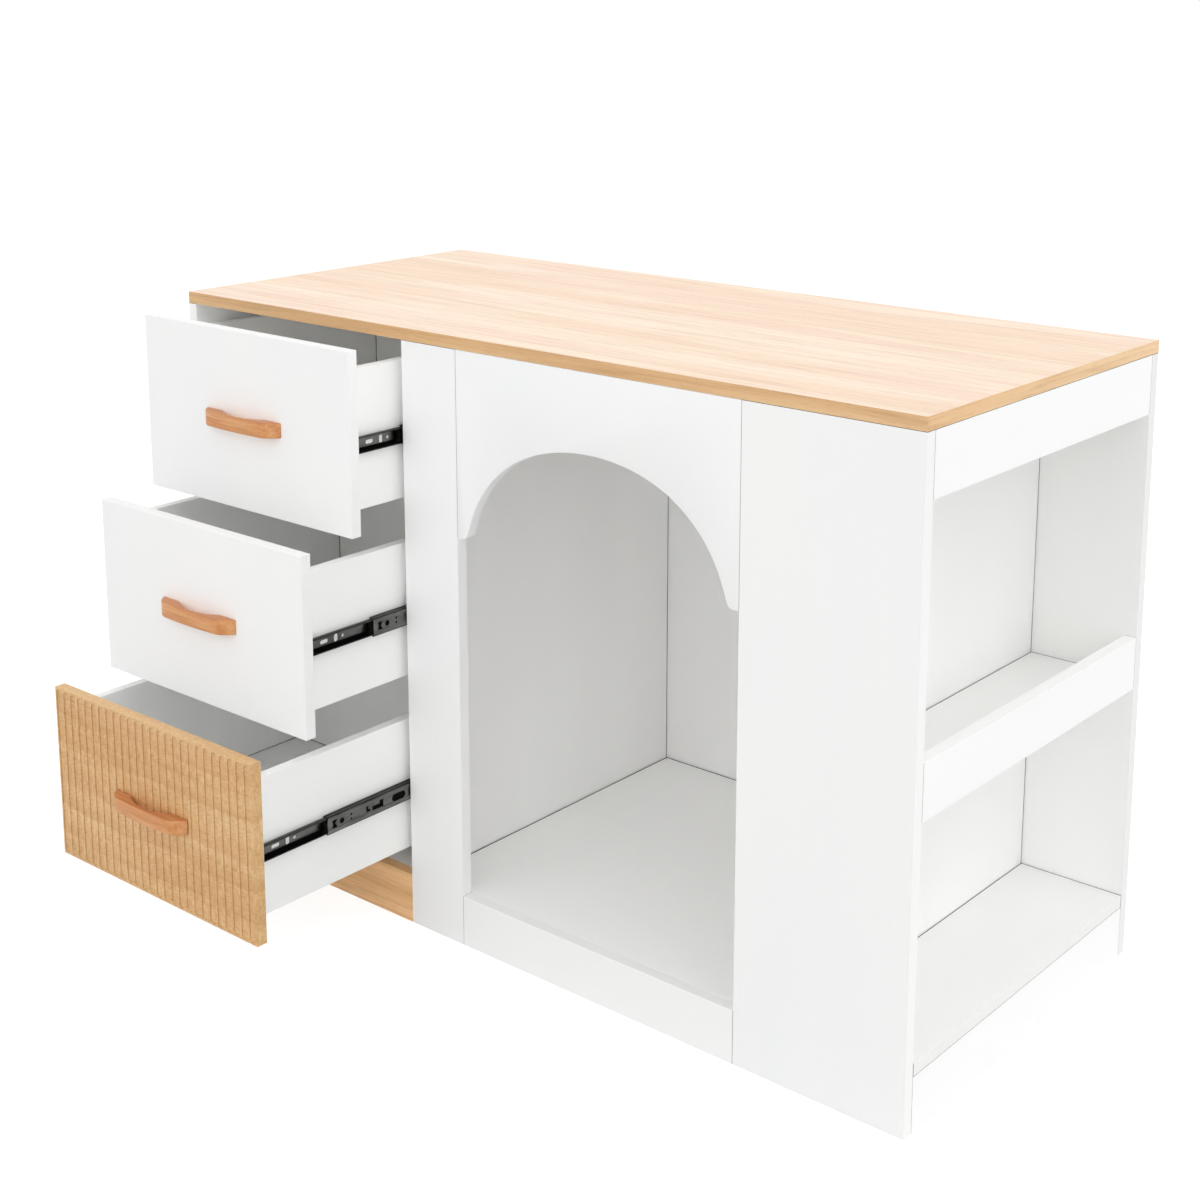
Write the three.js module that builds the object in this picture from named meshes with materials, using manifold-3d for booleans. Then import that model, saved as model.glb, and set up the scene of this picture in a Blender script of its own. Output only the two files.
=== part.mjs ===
// A free-standing kitchen island unit with three drawers, an arched pet kennel and end shelves.
//
// Millimetres, +Z up. The drawings below use the cabinet's own corner as their zero: X runs right along the
// long front, Y runs back from the front face, Z up from the floor. The finished group is then moved so that
// its origin is the bottom centre of everything, with the drawers standing open as they are shown.

import * as THREE from "three";
import { mergeVertices } from "three/addons/utils/BufferGeometryUtils.js";
import Module from "manifold-3d";

const wasm = await Module();
wasm.setup();

// ---------------------------------------------------------------- driving dimensions

// Carcass
const CABINET_WIDTH = 1340;
const CABINET_DEPTH = 610;
const CABINET_HEIGHT = 914;
const WORKTOP_THICKNESS = 18;
const BOARD = 18;
const PLINTH_HEIGHT = 77.5;

// The long front, left to right; the plain end panel takes what is left
const DRAWER_BAY_WIDTH = 461;
const STILE_WIDTH = 107;
const ARCH_PANEL_WIDTH = 492;

// The arched doorway in its panel
const ARCH_PANEL_DROP = 271.5;
const ARCH_RISE = 160;
const ARCH_FOOT_WIDTH = 17;
const ARCH_FOOT_ROUNDING = 8;
const ARCH_LEG_ANGLE = 73.7;
const ARCH_CROWN_FULLNESS = 0.264;
const ARCH_LEG_FULLNESS = 0.926;

// The open end
const NICHE_DEPTH = 162;
const MIDDLE_SHELF_HEIGHT = 430;
const SHELF_RAIL_HEIGHT = 77;
const TOP_RAIL_HEIGHT = 84;

// Drawers
const DRAWER_COUNT = 3;
const DRAWER_NAMES = ["bottom", "middle", "top"];
const DRAWER_OPENINGS = [295, 195, 100];
const REVEAL = 2.5;
const FRONT_THICKNESS = 18;
const BOX_BOARD = 15;
const BOX_RISE = 36;
const BOX_HEADROOM = 29;
const BOTTOM_PANEL = 5;
const BOTTOM_RECESS = 12;
const GROOVE_DEPTH = 6;
const FIT = 0.3;

// Flutes milled in the bottom drawer's front
const FLUTE_PITCH = 17.5;
const FLUTE_WIDTH = 12.2;
const FLUTE_DEPTH = 2.2;
const FLUTE_MARGIN = 3.15;

// Bow handles, screwed on through the fronts
const HANDLE_LENGTH = 167;
const HANDLE_HEIGHT = 22.5;
const HANDLE_PROJECTION = 22;
const SHOULDER_PROJECTION = 19.8;
const SHOULDER_INSET = 25.5;
const CORNER_PROJECTION = 18;
const CORNER_INSET = 11.5;
const GRIP_LENGTH = 100;
const GRIP_CLEARANCE = 15.6;
const SCREW_SPACING = 128;
const SCREW_DIAMETER = 4;
const SCREW_HOLE = 5;
const SCREW_BITE = 12;
const SCREW_HEAD_DIAMETER = 8.5;
const SCREW_HEAD_HEIGHT = 2.6;

// Three-part ball-bearing runners, one pair to a drawer; the drawer boxes are made to the runners' length
const RUNNER_SPACE = 12.7;
const RUNNER_STEEL = 1.2;
const RUNNER_LENGTH = 450;
const RUNNER_SETBACK = 2;
const RUNNER_RISE = 95.7;
const CABINET_MEMBER_HEIGHT = 35;
const CABINET_MEMBER_FLANGE = 9.5;
const MIDDLE_MEMBER_HEIGHT = 28;
const MIDDLE_MEMBER_SHORTFALL = 20;
const MIDDLE_MEMBER_SETBACK = 16;
const MIDDLE_MEMBER_FLANGE = 9.5;
const MIDDLE_MEMBER_SHARES = [0.66, 0.5, 0.3];
const DRAWER_MEMBER_HEIGHT = 23;
const DRAWER_MEMBER_SHORTFALL = 3;
const DRAWER_MEMBER_SETBACK = 1;

// How finely curves are stepped
const CURVE_STEPS = 12;
const HOLE_STEPS = 4;
const ROUND_STEPS = 16;
const FLUTE_STEPS = 32;

// ---------------------------------------------------------------- places worked out from them

const UNDER_TOP = CABINET_HEIGHT - WORKTOP_THICKNESS;
const BACK_FACE = CABINET_DEPTH - BOARD;
const ARCH_FOOT_HEIGHT = UNDER_TOP - ARCH_PANEL_DROP;
const BAY_LEFT = BOARD;
const BAY_RIGHT = BAY_LEFT + DRAWER_BAY_WIDTH;
const ARCH_LEFT = BAY_RIGHT + STILE_WIDTH;
const ARCH_RIGHT = ARCH_LEFT + ARCH_PANEL_WIDTH;
const NICHE_FACE = CABINET_WIDTH - NICHE_DEPTH;
const END_RAIL_FACE = CABINET_WIDTH - BOARD;
const FRONT_LEFT = BAY_LEFT + REVEAL;
const FRONT_RIGHT = BAY_RIGHT - REVEAL;
const FRONT_STACK = UNDER_TOP - PLINTH_HEIGHT;
const FRONT_HEIGHT = (FRONT_STACK - (DRAWER_COUNT + 1) * REVEAL) / DRAWER_COUNT;
const BOX_LEFT = BAY_LEFT + RUNNER_SPACE;
const BOX_RIGHT = BAY_RIGHT - RUNNER_SPACE;
const BOX_BACK = FRONT_THICKNESS + RUNNER_LENGTH;
const HANDLE_CENTRE = (FRONT_LEFT + FRONT_RIGHT) / 2;

// ---------------------------------------------------------------- finishes

const finish = (color, roughness, metalness = 0) =>
  new THREE.MeshStandardMaterial({ color, roughness, metalness });

const WHITE_BOARD = finish(0xf3f4f3, 0.45);
const OAK_TOP = finish(0xe3bd8c, 0.4);
const OAK_FRONT = finish(0xd9ae78, 0.5);
const BEECH_HANDLE = finish(0xcf8f5f, 0.45);
const BLACK_STEEL = finish(0x3a3a38, 0.35, 0.9);
const ZINC_SCREW = finish(0xb9bcbe, 0.3, 0.9);

// ---------------------------------------------------------------- solids

// A block between two planes on each axis, its corners exactly on those planes.
function block([x0, x1], [y0, y1], [z0, z1]) {
  const geometry = new THREE.BoxGeometry(1, 1, 1);
  const corner = geometry.attributes.position;
  for (let i = 0; i < corner.count; i++) {
    corner.setXYZ(
      i,
      corner.getX(i) < 0 ? x0 : x1,
      corner.getY(i) < 0 ? y0 : y1,
      corner.getZ(i) < 0 ? z0 : z1,
    );
  }
  return geometry;
}

// An outline drawn in plan, in front view or in end view, given its thickness between two planes.
function prism(outline, axis, [near, far], steps = CURVE_STEPS) {
  const geometry = new THREE.ExtrudeGeometry(outline, {
    depth: 1,
    bevelEnabled: false,
    curveSegments: steps,
  });
  const point = geometry.attributes.position;
  for (let i = 0; i < point.count; i++) {
    const u = point.getX(i);
    const v = point.getY(i);
    const raised = point.getZ(i) > 0.5;
    if (axis === "z") point.setXYZ(i, u, v, raised ? far : near);
    if (axis === "y") point.setXYZ(i, u, raised ? near : far, v);
    if (axis === "x") point.setXYZ(i, raised ? far : near, u, v);
  }
  return geometry;
}

// A closed outline through a list of points.
function outlineOf(points) {
  return new THREE.Shape(points.map(([u, v]) => new THREE.Vector2(u, v)));
}

// A slot with round ends, or a round hole where its length equals its width.
function slot(u, v, length, height) {
  const outline = new THREE.Shape();
  const radius = Math.min(length, height) / 2;
  const alongU = length / 2 - radius;
  const alongV = height / 2 - radius;
  const corners = [
    [u + alongU, v - alongV, -Math.PI / 2],
    [u + alongU, v + alongV, 0],
    [u - alongU, v + alongV, Math.PI / 2],
    [u - alongU, v - alongV, Math.PI],
  ];
  for (const [cu, cv, from] of corners) {
    outline.absarc(cu, cv, radius, from, from + Math.PI / 2, false);
  }
  return outline;
}

// A bar turned about an axis parallel to Y, its profile given as [radius, y] from front to back.
function turned(x, z, profile) {
  const geometry = new THREE.LatheGeometry(
    profile.map(([radius, y]) => new THREE.Vector2(radius, y)),
    ROUND_STEPS,
  );
  return geometry.translate(x, 0, z);
}

// The closed solid of a geometry: shared corners joined, and the flattened triangles at poles left out.
function solidOf(geometry) {
  const bare = geometry.clone();
  bare.deleteAttribute("normal");
  bare.deleteAttribute("uv");
  const merged = mergeVertices(bare, 1e-4);
  const corners = [];
  for (let i = 0; i < merged.index.count; i += 3) {
    const [a, b, c] = [0, 1, 2].map((k) => merged.index.getX(i + k));
    if (a !== b && b !== c && c !== a) corners.push(a, b, c);
  }
  return new wasm.Manifold(
    new wasm.Mesh({
      numProp: 3,
      vertProperties: merged.attributes.position.array,
      triVerts: new Uint32Array(corners),
    }),
  );
}

function cut(geometry, tools) {
  let solid = solidOf(geometry);
  for (const tool of tools) solid = solid.subtract(solidOf(tool));
  const mesh = solid.getMesh();
  const made = new THREE.BufferGeometry();
  made.setAttribute("position", new THREE.BufferAttribute(mesh.vertProperties, 3));
  made.setIndex(new THREE.BufferAttribute(mesh.triVerts, 1));
  made.computeVertexNormals();
  return made;
}

function piece(group, name, geometry, material) {
  const mesh = new THREE.Mesh(geometry, material);
  mesh.name = name;
  group.add(mesh);
}

// ---------------------------------------------------------------- carcass

// The arch panel: a board with the doorway's bell-shaped arch cut up from its lower edge, leaving a
// narrow rounded foot against the panel on either side.
function archOutline() {
  const middle = (ARCH_LEFT + ARCH_RIGHT) / 2;
  const reach = ARCH_PANEL_WIDTH / 2 - ARCH_FOOT_WIDTH;
  const crown = ARCH_FOOT_HEIGHT + ARCH_RISE;
  const crownPull = reach * ARCH_CROWN_FULLNESS;
  const legPull = ARCH_RISE * ARCH_LEG_FULLNESS;
  const lean = (ARCH_LEG_ANGLE * Math.PI) / 180;
  const legTop = ARCH_FOOT_HEIGHT + ARCH_FOOT_ROUNDING;
  const legDx = ARCH_FOOT_ROUNDING / Math.tan(lean);
  const outline = new THREE.Shape();
  outline.moveTo(ARCH_LEFT, UNDER_TOP);
  outline.lineTo(ARCH_LEFT, ARCH_FOOT_HEIGHT);
  outline.lineTo(middle - reach - ARCH_FOOT_ROUNDING, ARCH_FOOT_HEIGHT);
  outline.quadraticCurveTo(middle - reach, ARCH_FOOT_HEIGHT, middle - reach + legDx, legTop);
  outline.bezierCurveTo(
    middle - reach + legPull * Math.cos(lean),
    ARCH_FOOT_HEIGHT + legPull * Math.sin(lean),
    middle - crownPull,
    crown,
    middle,
    crown,
  );
  outline.bezierCurveTo(
    middle + crownPull,
    crown,
    middle + reach - legPull * Math.cos(lean),
    ARCH_FOOT_HEIGHT + legPull * Math.sin(lean),
    middle + reach - legDx,
    legTop,
  );
  outline.quadraticCurveTo(
    middle + reach,
    ARCH_FOOT_HEIGHT,
    middle + reach + ARCH_FOOT_ROUNDING,
    ARCH_FOOT_HEIGHT,
  );
  outline.lineTo(ARCH_RIGHT, ARCH_FOOT_HEIGHT);
  outline.lineTo(ARCH_RIGHT, UNDER_TOP);
  return outline;
}

function carcass() {
  const group = new THREE.Group();
  const full = [0, UNDER_TOP];
  const low = [0, PLINTH_HEIGHT];
  const floor = [PLINTH_HEIGHT - BOARD, PLINTH_HEIGHT];
  const face = [0, BOARD];
  const inside = [BOARD, BACK_FACE];
  const rear = [BACK_FACE, CABINET_DEPTH];
  const outerEnd = [END_RAIL_FACE, CABINET_WIDTH];
  const shelf = [MIDDLE_SHELF_HEIGHT - BOARD, MIDDLE_SHELF_HEIGHT];
  const shelfRail = [shelf[0], shelf[0] + SHELF_RAIL_HEIGHT];
  const endDivider = [NICHE_FACE - BOARD, NICHE_FACE];
  const bayDivider = [BAY_RIGHT, BAY_RIGHT + BOARD];
  const white = (name, x, y, z) => piece(group, name, block(x, y, z), WHITE_BOARD);

  piece(
    group,
    "worktop",
    block([0, CABINET_WIDTH], [0, CABINET_DEPTH], [UNDER_TOP, CABINET_HEIGHT]),
    OAK_TOP,
  );
  white("left_side_panel", [0, BAY_LEFT], [0, CABINET_DEPTH], full);
  white("drawer_bay_divider", bayDivider, inside, full);
  white("kennel_end_divider", endDivider, inside, full);
  white("back_panel", [BAY_LEFT, endDivider[0]], rear, full);
  white("rear_end_panel", [endDivider[0], CABINET_WIDTH], rear, full);
  white("front_stile", [BAY_RIGHT, ARCH_LEFT], face, full);
  white("front_end_panel", [ARCH_RIGHT, CABINET_WIDTH], face, full);
  piece(group, "arch_panel", prism(archOutline(), "y", face), WHITE_BOARD);
  white("kennel_rail", [ARCH_LEFT, ARCH_RIGHT], face, low);
  white("kennel_floor", [bayDivider[1], endDivider[0]], inside, floor);
  piece(group, "drawer_plinth", block([BAY_LEFT, BAY_RIGHT], face, low), OAK_FRONT);
  white("drawer_bay_floor", [BAY_LEFT, BAY_RIGHT], inside, floor);
  white("end_bottom_shelf", [NICHE_FACE, CABINET_WIDTH], inside, [PLINTH_HEIGHT, PLINTH_HEIGHT + BOARD]);
  white("end_plinth", outerEnd, inside, low);
  white("middle_shelf", [NICHE_FACE, END_RAIL_FACE], inside, shelf);
  white("middle_shelf_rail", outerEnd, inside, shelfRail);
  white("end_top_rail", outerEnd, inside, [UNDER_TOP - TOP_RAIL_HEIGHT, UNDER_TOP]);
  return group;
}

// ---------------------------------------------------------------- runners

// Each member is a channel of folded steel, drawn for the right-hand side of the bay with x measured from
// the face it stands off. side is 1 at the right of the bay and -1 at the left, where it is mirrored.
function channel(side, wallX, webFrom, webTo, tipTo, z, height, length) {
  const x = (offset) => wallX - side * offset;
  const half = height / 2;
  const inner = half - RUNNER_STEEL;
  const points = [
    [x(webFrom), z - half],
    [x(tipTo), z - half],
    [x(tipTo), z - inner],
    [x(webTo), z - inner],
    [x(webTo), z + inner],
    [x(tipTo), z + inner],
    [x(tipTo), z + half],
    [x(webFrom), z + half],
  ];
  return prism(outlineOf(points), "y", length);
}

// Openings punched through a member's web, as slots at a distance from its front end.
function punched(body, wallX, front, z, slots) {
  const across = [wallX - 2 * RUNNER_SPACE, wallX + 2 * RUNNER_SPACE];
  return cut(
    body,
    slots.map(([from, length, height]) =>
      prism(slot(front + from, z, length, height), "x", across, HOLE_STEPS),
    ),
  );
}

const RUNNER_Z = (frontBottom) => frontBottom + BOX_RISE + RUNNER_RISE;
const CABINET_MEMBER_FRONT = FRONT_THICKNESS + RUNNER_SETBACK;
const MIDDLE_MEMBER_FRONT = FRONT_THICKNESS + MIDDLE_MEMBER_SETBACK;
const DRAWER_MEMBER_FRONT = FRONT_THICKNESS + DRAWER_MEMBER_SETBACK;
const SIDES = [
  ["left", -1, BAY_LEFT],
  ["right", 1, BAY_RIGHT],
];

// Punchings as [distance from the front end, length, height]
const CABINET_MEMBER_SLOTS = [
  [35, 10, 5],
  [RUNNER_LENGTH / 2, 10, 5],
  [RUNNER_LENGTH - 35, 10, 5],
];
const MIDDLE_MEMBER_SLOTS = [
  [14.5, 6, 9],
  [31, 7, 7],
  [105, 19, 8],
  [152, 25, 9],
];
const DRAWER_MEMBER_SLOTS = [
  [27, 15, 6.5],
  [49, 8, 12],
  [62, 5, 5],
];

function cabinetMembers(group, name, frontBottom) {
  const z = RUNNER_Z(frontBottom);
  const run = [CABINET_MEMBER_FRONT, CABINET_MEMBER_FRONT + RUNNER_LENGTH];
  for (const [label, side, wall] of SIDES) {
    const body = channel(
      side, wall, 0, RUNNER_STEEL, CABINET_MEMBER_FLANGE, z, CABINET_MEMBER_HEIGHT, run,
    );
    piece(
      group,
      `${name}_cabinet_member_${label}`,
      punched(body, wall, run[0], z, CABINET_MEMBER_SLOTS),
      BLACK_STEEL,
    );
  }
}

function middleMembers(group, name, frontBottom) {
  const z = RUNNER_Z(frontBottom);
  const run = [MIDDLE_MEMBER_FRONT, MIDDLE_MEMBER_FRONT + RUNNER_LENGTH - MIDDLE_MEMBER_SHORTFALL];
  const web = RUNNER_STEEL + FIT;
  for (const [label, side, wall] of SIDES) {
    const body = channel(
      side, wall, web, web + RUNNER_STEEL, web + MIDDLE_MEMBER_FLANGE, z, MIDDLE_MEMBER_HEIGHT, run,
    );
    piece(
      group,
      `${name}_middle_member_${label}`,
      punched(body, wall, run[0], z, MIDDLE_MEMBER_SLOTS),
      BLACK_STEEL,
    );
  }
}

function drawerMembers(group, name, frontBottom) {
  const z = RUNNER_Z(frontBottom);
  const run = [DRAWER_MEMBER_FRONT, DRAWER_MEMBER_FRONT + RUNNER_LENGTH - DRAWER_MEMBER_SHORTFALL];
  const tip = 2 * (RUNNER_STEEL + FIT);
  for (const [label, side, wall] of SIDES) {
    const body = channel(
      side, wall, RUNNER_SPACE, RUNNER_SPACE - RUNNER_STEEL, tip, z, DRAWER_MEMBER_HEIGHT, run,
    );
    piece(
      group,
      `${name}_drawer_member_${label}`,
      punched(body, wall, run[0], z, DRAWER_MEMBER_SLOTS),
      BLACK_STEEL,
    );
  }
}

// ---------------------------------------------------------------- handles

const SCREW_PLACES = [
  ["left", HANDLE_CENTRE - SCREW_SPACING / 2],
  ["right", HANDLE_CENTRE + SCREW_SPACING / 2],
];

// Plan of a bow handle standing off the front's face at y = 0: slanted ends, a gently bowed outer face and
// an arched cut behind for the fingers.
function handlePlan() {
  const end = HANDLE_LENGTH / 2;
  const corner = end - CORNER_INSET;
  const shoulder = end - SHOULDER_INSET;
  const grip = GRIP_LENGTH / 2;
  const at = (along, out) => [HANDLE_CENTRE + along, -out];
  const outline = new THREE.Shape();
  outline.moveTo(...at(-end, 0));
  outline.quadraticCurveTo(...at(-corner, CORNER_PROJECTION), ...at(-shoulder, SHOULDER_PROJECTION));
  outline.quadraticCurveTo(
    ...at(0, 2 * HANDLE_PROJECTION - SHOULDER_PROJECTION),
    ...at(shoulder, SHOULDER_PROJECTION),
  );
  outline.quadraticCurveTo(...at(corner, CORNER_PROJECTION), ...at(end, 0));
  outline.lineTo(...at(grip, 0));
  outline.quadraticCurveTo(...at(0, 2 * GRIP_CLEARANCE), ...at(-grip, 0));
  return outline;
}

function handle(group, name, z) {
  const rise = [z - HANDLE_HEIGHT / 2, z + HANDLE_HEIGHT / 2];
  const holeRadius = SCREW_DIAMETER / 2 + FIT;
  const holes = SCREW_PLACES.map(([, x]) =>
    turned(x, z, [
      [0, -SCREW_BITE - FIT],
      [holeRadius, -SCREW_BITE - FIT],
      [holeRadius, 1],
      [0, 1],
    ]),
  );
  piece(group, `${name}_handle`, cut(prism(handlePlan(), "z", rise), holes), BEECH_HANDLE);
  for (const [label, x] of SCREW_PLACES) {
    const seat = FRONT_THICKNESS + FIT;
    const screw = turned(x, z, [
      [0, -SCREW_BITE],
      [SCREW_DIAMETER / 2, -SCREW_BITE],
      [SCREW_DIAMETER / 2, seat],
      [SCREW_HEAD_DIAMETER / 2, seat],
      [SCREW_HEAD_DIAMETER / 2, seat + SCREW_HEAD_HEIGHT / 2],
      [SCREW_HEAD_DIAMETER / 3, seat + SCREW_HEAD_HEIGHT],
      [0, seat + SCREW_HEAD_HEIGHT],
    ]);
    piece(group, `${name}_handle_screw_${label}`, cut(screw, []), ZINC_SCREW);
  }
}

// ---------------------------------------------------------------- drawers

// The round-nosed cutter's path for each flute: a rounded rod sunk into the face to the flute's depth,
// wide enough there to leave the flute's width at the face and the same width round each end.
function fluteTools(bottom) {
  const span = FRONT_RIGHT - FRONT_LEFT - 2 * FLUTE_MARGIN;
  const count = 1 + Math.floor((span - FLUTE_WIDTH + FIT) / FLUTE_PITCH);
  const first = HANDLE_CENTRE - ((count - 1) * FLUTE_PITCH) / 2;
  const half = FLUTE_WIDTH / 2;
  const radius = (half * half + FLUTE_DEPTH * FLUTE_DEPTH) / (2 * FLUTE_DEPTH);
  const length = FRONT_HEIGHT - 2 * FLUTE_MARGIN - FLUTE_WIDTH;
  const rod = new THREE.CapsuleGeometry(radius, length, FLUTE_STEPS / 4, FLUTE_STEPS);
  rod.rotateX(Math.PI / 2);
  rod.translate(first, FLUTE_DEPTH - radius, bottom + FRONT_HEIGHT / 2);
  return Array.from({ length: count }, (_, i) => rod.clone().translate(i * FLUTE_PITCH, 0, 0));
}

// A side board in front view, with the groove for the bottom panel across its inner face.
function sidePlan(outer, inner, bottom, top) {
  const grooved = inner + Math.sign(outer - inner) * GROOVE_DEPTH;
  const grooveLow = bottom + BOTTOM_RECESS;
  const grooveTop = grooveLow + BOTTOM_PANEL + FIT;
  const points = [
    [outer, bottom],
    [inner, bottom],
    [inner, grooveLow],
    [grooved, grooveLow],
    [grooved, grooveTop],
    [inner, grooveTop],
    [inner, top],
    [outer, top],
  ];
  return outlineOf(points);
}

function drawer(level) {
  const name = DRAWER_NAMES[level];
  const fluted = level === 0;
  const frontBottom = PLINTH_HEIGHT + REVEAL + level * (FRONT_HEIGHT + REVEAL);
  const frontTop = frontBottom + FRONT_HEIGHT;
  const boxBottom = frontBottom + BOX_RISE;
  const boxTop = frontTop - BOX_HEADROOM;
  const panelBottom = boxBottom + BOTTOM_RECESS;
  const panelTop = panelBottom + BOTTOM_PANEL;
  const left = [BOX_LEFT, BOX_LEFT + BOX_BOARD];
  const right = [BOX_RIGHT - BOX_BOARD, BOX_RIGHT];
  const middle = frontBottom + FRONT_HEIGHT / 2;
  const group = new THREE.Group();

  const screwHoles = SCREW_PLACES.map(([, x]) =>
    prism(slot(x, middle, SCREW_HOLE, SCREW_HOLE), "y", [-1, FRONT_THICKNESS + 1], HOLE_STEPS),
  );
  const tools = fluted ? [...fluteTools(frontBottom), ...screwHoles] : screwHoles;
  const face = block([FRONT_LEFT, FRONT_RIGHT], [0, FRONT_THICKNESS], [frontBottom, frontTop]);
  piece(group, `${name}_drawer_front`, cut(face, tools), fluted ? OAK_FRONT : WHITE_BOARD);

  const run = [FRONT_THICKNESS, BOX_BACK];
  const leftPlan = sidePlan(left[0], left[1], boxBottom, boxTop);
  const rightPlan = sidePlan(right[1], right[0], boxBottom, boxTop);
  piece(group, `${name}_drawer_side_left`, prism(leftPlan, "y", run), WHITE_BOARD);
  piece(group, `${name}_drawer_side_right`, prism(rightPlan, "y", run), WHITE_BOARD);
  piece(
    group,
    `${name}_drawer_back`,
    block([left[1], right[0]], [BOX_BACK - BOX_BOARD, BOX_BACK], [panelTop, boxTop]),
    WHITE_BOARD,
  );
  const tongue = GROOVE_DEPTH - FIT;
  piece(
    group,
    `${name}_drawer_bottom`,
    block([left[1] - tongue, right[0] + tongue], run, [panelBottom, panelTop]),
    WHITE_BOARD,
  );
  handle(group, name, middle);
  drawerMembers(group, name, frontBottom);
  group.position.y = -DRAWER_OPENINGS[level];

  const middleGroup = new THREE.Group();
  middleMembers(middleGroup, name, frontBottom);
  middleGroup.position.y = -DRAWER_OPENINGS[level] * MIDDLE_MEMBER_SHARES[level];

  const fixed = new THREE.Group();
  cabinetMembers(fixed, name, frontBottom);
  return [group, middleGroup, fixed];
}

// ---------------------------------------------------------------- the whole unit

const island = new THREE.Group();
island.add(carcass());
for (let level = 0; level < DRAWER_COUNT; level++) island.add(...drawer(level));

const FOREMOST = -Math.max(...DRAWER_OPENINGS) - HANDLE_PROJECTION;
island.position.set(-CABINET_WIDTH / 2, -(FOREMOST + CABINET_DEPTH) / 2, 0);

export default island;
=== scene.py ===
# The kitchen island unit's looks: white laminated board, oak worktop, fluted oak drawer front, beech bow
# handles and black ball-bearing runners, on a white floor in soft studio light.
# Metres, in the part's own frame: X right along the long front, Y to the back, Z up.

import math

import bmesh
import bpy
from mathutils import Matrix, Vector


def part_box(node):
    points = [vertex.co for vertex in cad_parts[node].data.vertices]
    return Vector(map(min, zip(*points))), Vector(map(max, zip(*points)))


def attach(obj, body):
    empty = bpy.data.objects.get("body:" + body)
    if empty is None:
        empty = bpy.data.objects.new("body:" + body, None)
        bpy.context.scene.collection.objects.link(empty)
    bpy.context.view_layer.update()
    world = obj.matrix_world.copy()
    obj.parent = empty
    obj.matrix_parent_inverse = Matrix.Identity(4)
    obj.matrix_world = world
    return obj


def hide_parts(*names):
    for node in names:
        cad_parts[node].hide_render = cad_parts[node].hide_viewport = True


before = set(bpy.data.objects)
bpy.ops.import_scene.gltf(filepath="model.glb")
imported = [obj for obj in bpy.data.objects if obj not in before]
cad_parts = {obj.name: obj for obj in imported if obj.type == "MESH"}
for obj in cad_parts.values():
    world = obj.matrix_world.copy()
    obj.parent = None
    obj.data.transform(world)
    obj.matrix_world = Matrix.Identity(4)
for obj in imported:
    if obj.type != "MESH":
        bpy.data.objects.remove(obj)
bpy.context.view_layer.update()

MM = 0.001
LEVELS = ("bottom", "middle", "top")
SIDES = (("left", -1), ("right", 1))

# The fluted front: its flutes' spacing, width and depth, the plain margin round them, the spare that their
# count leaves, and how square their section is
FLUTE_PITCH, FLUTE_WIDTH, FLUTE_DEPTH, FLUTE_MARGIN = 17.5 * MM, 12.2 * MM, 2.3 * MM, 3.15 * MM
FLUTE_SPARE = 0.3 * MM
FLUTE_POWER = 6


def flute_count(width):
    """How many flutes fit a front of this width between its plain margins."""
    return 1 + math.floor((width - 2 * FLUTE_MARGIN - FLUTE_WIDTH + FLUTE_SPARE) / FLUTE_PITCH)


def corners(node):
    """The lowest and the highest corner of a CAD node's box."""
    low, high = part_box(node)
    return Vector(low), Vector(high)


# ------------------------------------------------------------------ colours and nodes


def colour(code, share=1.0):
    """A screen colour such as D2A679 as linear light, with its alpha, or a share of that light."""
    parts = [int(code[i : i + 2], 16) / 255 for i in (0, 2, 4)]
    linear = [c / 12.92 if c <= 0.04045 else ((c + 0.055) / 1.055) ** 2.4 for c in parts]
    return (*(min(c * share, 1.0) for c in linear), 1.0)


RAMP, NOISE, MIX, MATH = "ShaderNodeValToRGB", "ShaderNodeTexNoise", "ShaderNodeMix", "ShaderNodeMath"


def add(tree, kind, inputs=None, stops=(), **settings):
    """One node with its settings; an input given as a socket is linked, any other is set.

    stops are a colour ramp's (position, colour) pairs, where a plain number stands for a grey."""
    made = tree.nodes.new(kind)
    for name, value in settings.items():
        setattr(made, name, value)
    for name, value in (inputs or {}).items():
        if isinstance(value, bpy.types.NodeSocket):
            tree.links.new(value, made.inputs[name])
        else:
            made.inputs[name].default_value = value
    while stops and len(made.color_ramp.elements) < len(stops):
        made.color_ramp.elements.new(1.0)
    for point, (place, tone) in zip(made.color_ramp.elements if stops else (), stops):
        point.position = place
        point.color = tone if isinstance(tone, tuple) else (tone, tone, tone, 1.0)
    return made


def shader(name, **constants):
    """A new material: its tree, its Principled shader and its Object coordinates."""
    made = bpy.data.materials.new(name)
    made.use_nodes = True
    tree = made.node_tree
    face = tree.nodes["Principled BSDF"]
    for key, value in constants.items():
        face.inputs[key.replace("_", " ")].default_value = value
    coords = add(tree, "ShaderNodeTexCoord").outputs["Object"]
    return made, tree, face, coords


def grain(tree, coords, along, length, width, detail=2.0, roughness=0.5, wander=0.0):
    """A pattern whose marks are about length (mm) along the grain's axis and width (mm) across it."""
    sizes = [width, width, width]
    sizes["XYZ".index(along)] = length
    vector = add(tree, "ShaderNodeMapping", {"Vector": coords, "Scale": [1000 / s for s in sizes]})
    settings = {"Scale": 1.0, "Detail": detail, "Roughness": roughness, "Distortion": wander}
    return add(tree, NOISE, {"Vector": vector.outputs[0], **settings}).outputs["Fac"]


def stained(tree, base, pattern, start, full, amount, tone):
    """The base with a tone laid over it as the pattern rises from start to full."""
    mask = add(tree, RAMP, {"Fac": pattern}, [(start, 0.0), (full, amount)]).outputs["Color"]
    return add(tree, MIX, {0: mask, 6: base, 7: tone}, data_type="RGBA").outputs[2]


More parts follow.
